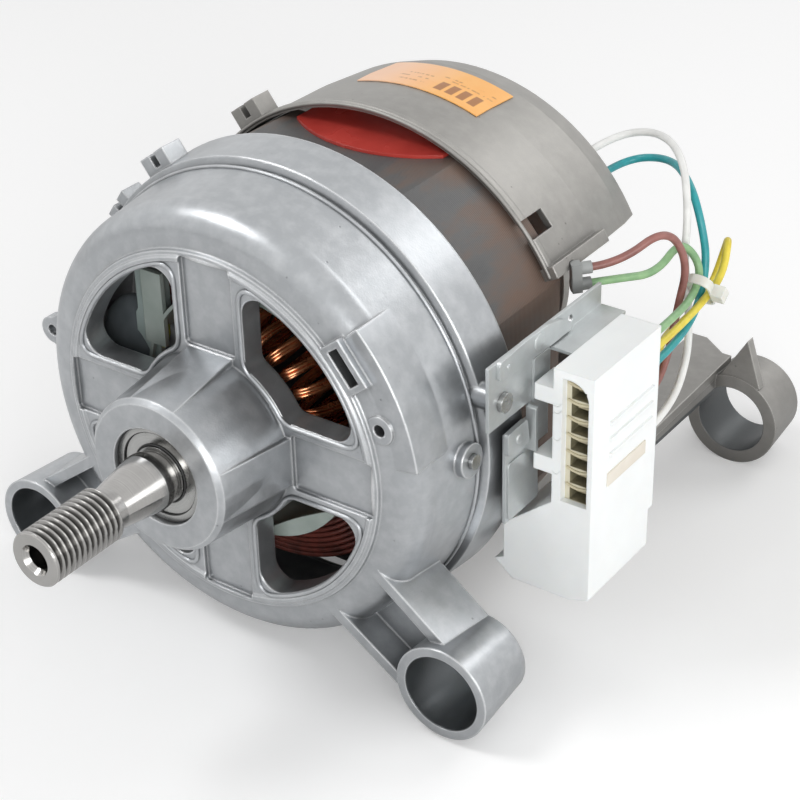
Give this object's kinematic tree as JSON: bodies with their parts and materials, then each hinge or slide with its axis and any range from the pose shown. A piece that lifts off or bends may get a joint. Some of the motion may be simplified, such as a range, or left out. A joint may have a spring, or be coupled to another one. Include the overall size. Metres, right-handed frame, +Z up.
{
  "type": "washing machine motor",
  "caption": "Universal brush motor with a die-cast front shield, ribbed belt shaft, open lamination stack, cast rear shield with mounting eyes, terminal housing and leads.",
  "frame": {"origin": "where the shaft axis meets the front face of the bearing hub", "axes": "+Y along the shaft from the belt end to the rear, +Z up with the mounting eyes below, +X towards the terminal housing"},
  "size_m": [0.2231, 0.312, 0.1735],
  "materials": {
    "cast_front": "satin die cast",
    "cast_rear": "matte die cast",
    "lamination": "varnished sheet stack",
    "steel": "bright",
    "shaft_steel": "turned",
    "plated_sheet": "plated sheet",
    "coil_varnish": "varnished winding",
    "coil_frame": "moulded",
    "insulator": "smooth moulded",
    "sleeve": "moulded",
    "copper": "enamelled copper",
    "black_plastic": "moulded",
    "magnet": "sintered",
    "label": "printed film",
    "carbon": "pressed carbon",
    "white_plastic": "moulded",
    "beige_plastic": "moulded",
    "tinned_brass": "stamped",
    "wire_white": "insulated wire",
    "wire_teal": "insulated wire",
    "wire_brown": "insulated wire",
    "wire_green": "insulated wire",
    "wire_yellow": "insulated wire",
    "tie_plastic": "translucent moulded"
  },
  "bodies": {
    "motor": {"front_shield": "cast_front", "stator_core": "lamination", "stack_bolts": "steel", "field_coil_upper": "coil_varnish", "field_coil_lower": "coil_varnish", "coil_frame_upper": "coil_frame", "coil_frame_lower": "coil_frame", "red_insulator": "insulator", "front_bearing_outer": "steel", "front_bearing_shields": "steel", "rear_bearing_outer": "steel", "rear_bearing_shields": "steel", "rear_shield": "cast_rear", "label_plate": "label", "brush_spring_upper": "steel", "brush_spring_lower": "steel", "brush_holder_upper": "black_plastic", "brush_holder_lower": "black_plastic", "sensor_coil": "copper", "sensor_cap": "black_plastic", "steel_bracket": "plated_sheet", "bracket_screw": "steel", "side_screw": "steel", "terminal_housing": "white_plastic", "housing_insert": "beige_plastic", "terminal_pins": "tinned_brass", "lead_white": "wire_white", "lead_teal": "wire_teal", "lead_brown": "wire_brown", "lead_green": "wire_green", "lead_yellow": "wire_yellow", "lead_sleeves": "black_plastic", "cable_tie": "tie_plastic"},
    "rotor": {"rotor_shaft": "shaft_steel", "rotor_core": "lamination", "shaft_sleeve": "sleeve", "armature_winding_front": "copper", "armature_winding_rear": "copper", "commutator": "copper", "commutator_hub": "black_plastic", "sensor_magnet": "magnet", "front_bearing_inner": "steel", "rear_bearing_inner": "steel"},
    "front_ball_cage": {"front_bearing_balls": "steel"},
    "rear_ball_cage": {"rear_bearing_balls": "steel"},
    "upper_brush": {"brush_upper": "carbon"},
    "lower_brush": {"brush_lower": "carbon"}
  },
  "joints": [
    {"name": "rotor_spin", "type": "hinge", "parent": "motor", "child": "rotor", "pos_m": [0, 0.1, 0], "axis": [0, 1, 0], "continuous": true},
    {"name": "front_cage_spin", "type": "hinge", "parent": "motor", "child": "front_ball_cage", "pos_m": [0, 0.0075, 0], "axis": [0, 1, 0], "continuous": true},
    {"name": "rear_cage_spin", "type": "hinge", "parent": "motor", "child": "rear_ball_cage", "pos_m": [0, 0.179, 0], "axis": [0, 1, 0], "continuous": true},
    {"name": "upper_brush_slide", "type": "slide", "parent": "motor", "child": "upper_brush", "axis": [0, 0, 1], "range_m": [0, 0.004], "stiffness_N_per_m": 150, "springref_m": -0.016, "deforming": ["brush_spring_upper"]},
    {"name": "lower_brush_slide", "type": "slide", "parent": "motor", "child": "lower_brush", "axis": [0, 0, -1], "range_m": [0, 0.004], "stiffness_N_per_m": 150, "springref_m": -0.016, "deforming": ["brush_spring_lower"]}
  ],
  "couplings": [
    {"joint": "front_cage_spin", "follows": "rotor_spin", "ratio": 0.38},
    {"joint": "rear_cage_spin", "follows": "rotor_spin", "ratio": 0.3636}
  ]
}
